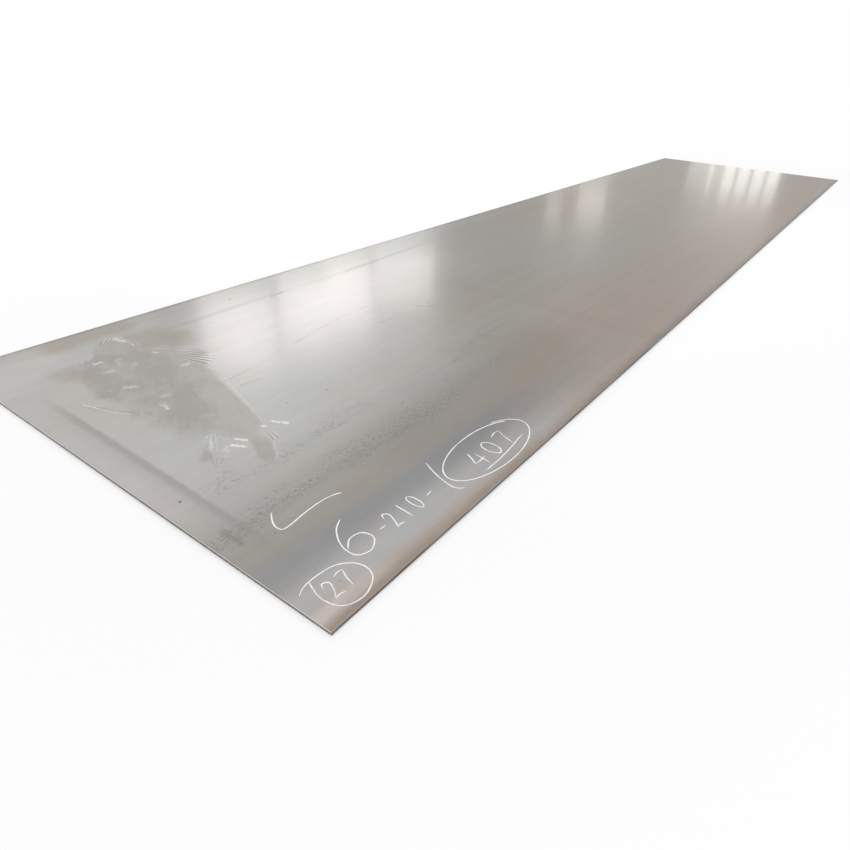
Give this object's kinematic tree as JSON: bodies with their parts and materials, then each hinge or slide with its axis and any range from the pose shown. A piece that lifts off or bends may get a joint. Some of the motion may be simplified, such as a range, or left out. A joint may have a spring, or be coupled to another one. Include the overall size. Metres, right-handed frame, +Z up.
{
  "type": "steel plate",
  "caption": "Flat hot-rolled steel plate with rolled mill edges along its sides and guillotine-sheared ends, lying flat as stock.",
  "frame": {"origin": "middle of the underside, on the floor that the plate lies on", "axes": "+X along the plate's length towards the tail end, +Y across its width, +Z up through its thickness"},
  "size_m": [6, 1.5, 0.008],
  "materials": {
    "mill_scale_steel": "hot-rolled mill scale, semi-gloss blue-grey to warm grey, with light rust freckles and scuffs"
  },
  "bodies": {
    "root": {"steel_plate": "mill_scale_steel"}
  },
  "joints": []
}
